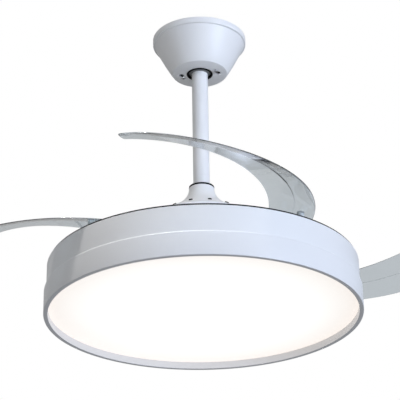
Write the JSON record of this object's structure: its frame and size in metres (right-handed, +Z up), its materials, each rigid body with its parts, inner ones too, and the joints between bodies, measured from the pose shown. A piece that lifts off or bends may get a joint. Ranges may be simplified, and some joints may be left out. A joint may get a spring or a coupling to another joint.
{
  "type": "retractable blade ceiling fan",
  "caption": "White ceiling fan with a round LED lamp drum on a short downrod and clear sickle-shaped blades that fold in over the drum.",
  "frame": {"origin": "centre of the ceiling bracket's upper face, on the ceiling plane", "axes": "+Z up into the ceiling, +X to the right and -Y towards the viewer of the picture; the lamp hangs along -Z"},
  "size_m": [0.8748, 0.8518, 0.5],
  "materials": {
    "white_enamel": "satin",
    "white_coated_plate": "satin",
    "black_rubber": "matte",
    "zinc_steel": "satin",
    "black_steel": "satin",
    "spring_steel": "satin",
    "bearing_steel": "polished",
    "cast_aluminium": "satin",
    "gear_nylon": "satin",
    "grey_nylon": "matte",
    "terminal_plastic": "matte",
    "core_steel": "satin",
    "magnet_ferrite": "matte",
    "copper_coils": "satin",
    "led_board": "satin",
    "led_chip": "gloss",
    "opal_acrylic": "satin",
    "clear_blade": "gloss"
  },
  "bodies": {
    "ceiling_mount": {"ceiling_bracket": "zinc_steel", "terminal_block": "terminal_plastic", "canopy": "white_enamel", "canopy_grommet": "black_rubber", "canopy_screws": "zinc_steel"},
    "hung_stem": {"hanger_ball": "grey_nylon", "ball_pin": "zinc_steel", "downrod": "white_enamel", "rod_coupling": "cast_aluminium", "coupling_bolt": "zinc_steel", "coupling_nut": "zinc_steel", "coupling_set_screws": "black_steel", "motor_cover": "white_enamel", "cover_gasket": "black_rubber", "motor_shaft": "zinc_steel", "shaft_circlip": "black_steel", "stator_core": "core_steel", "stator_coils": "copper_coils", "upper_shell": "white_enamel", "shell_edge_trim": "black_rubber", "bayonet_pins": "zinc_steel", "lamp_flange": "zinc_steel", "flange_screws": "zinc_steel", "shaft_nut": "zinc_steel", "led_tray": "white_coated_plate", "tray_standoffs": "zinc_steel", "tray_screws": "zinc_steel", "led_boards": "led_board", "led_chips": "led_chip", "led_driver": "terminal_plastic", "remote_receiver": "terminal_plastic"},
    "rotor": {"housing_base": "cast_aluminium", "housing_top": "cast_aluminium", "housing_screws": "zinc_steel", "magnet_ring": "magnet_ferrite", "bearing_lower": "bearing_steel", "bearing_upper": "bearing_steel", "blade_carrier": "white_coated_plate", "carrier_screws": "zinc_steel", "pivot_posts": "zinc_steel", "post_circlips": "black_steel", "spring_anchor_pins": "zinc_steel", "return_springs": "spring_steel", "stop_bumpers": "black_rubber", "ring_guides": "zinc_steel"},
    "sync": {"sync_ring": "gear_nylon"},
    "blade_1_unit": {"blade_1": "clear_blade", "blade_arm_1": "gear_nylon", "blade_screws_1": "zinc_steel"},
    "blade_2_unit": {"blade_2": "clear_blade", "blade_arm_2": "gear_nylon", "blade_screws_2": "zinc_steel"},
    "blade_3_unit": {"blade_3": "clear_blade", "blade_arm_3": "gear_nylon", "blade_screws_3": "zinc_steel"},
    "blade_4_unit": {"blade_4": "clear_blade", "blade_arm_4": "gear_nylon", "blade_screws_4": "zinc_steel"},
    "shade": {"shade_ring": "white_enamel", "diffuser": "opal_acrylic"}
  },
  "joints": [
    {"name": "hanger_tilt", "type": "hinge", "parent": "ceiling_mount", "child": "hung_stem", "pos_m": [0, 0, -0.044], "axis": [1, 0, 0], "range_deg": [-8, 8]},
    {"name": "rotor_spin", "type": "hinge", "parent": "hung_stem", "child": "rotor", "pos_m": [0, 0, -0.4], "axis": [0, 0, 1], "continuous": true},
    {"name": "blade_1_fold", "type": "hinge", "parent": "rotor", "child": "blade_1_unit", "pos_m": [0.1042, -0.1079, -0.42], "axis": [0, 0, -1], "range_deg": [0, 80]},
    {"name": "blade_2_fold", "type": "hinge", "parent": "rotor", "child": "blade_2_unit", "pos_m": [-0.1079, -0.1042, -0.42], "axis": [0, 0, -1], "range_deg": [0, 80]},
    {"name": "blade_3_fold", "type": "hinge", "parent": "rotor", "child": "blade_3_unit", "pos_m": [-0.1042, 0.1079, -0.42], "axis": [0, 0, -1], "range_deg": [0, 80]},
    {"name": "blade_4_fold", "type": "hinge", "parent": "rotor", "child": "blade_4_unit", "pos_m": [0.1079, 0.1042, -0.42], "axis": [0, 0, -1], "range_deg": [0, 80]},
    {"name": "sync_turn", "type": "hinge", "parent": "rotor", "child": "sync", "pos_m": [0, 0, -0.425], "axis": [0, 0, -1], "range_deg": [-12.31, 0]},
    {"name": "shade_twist", "type": "hinge", "parent": "hung_stem", "child": "shade", "pos_m": [0, 0, -0.47], "axis": [0, 0, 1], "range_deg": [0, 12]}
  ],
  "couplings": [
    {"joint": "blade_2_fold", "follows": "blade_1_fold", "ratio": 1},
    {"joint": "blade_3_fold", "follows": "blade_1_fold", "ratio": 1},
    {"joint": "blade_4_fold", "follows": "blade_1_fold", "ratio": 1},
    {"joint": "sync_turn", "follows": "blade_1_fold", "ratio": -0.15385}
  ]
}
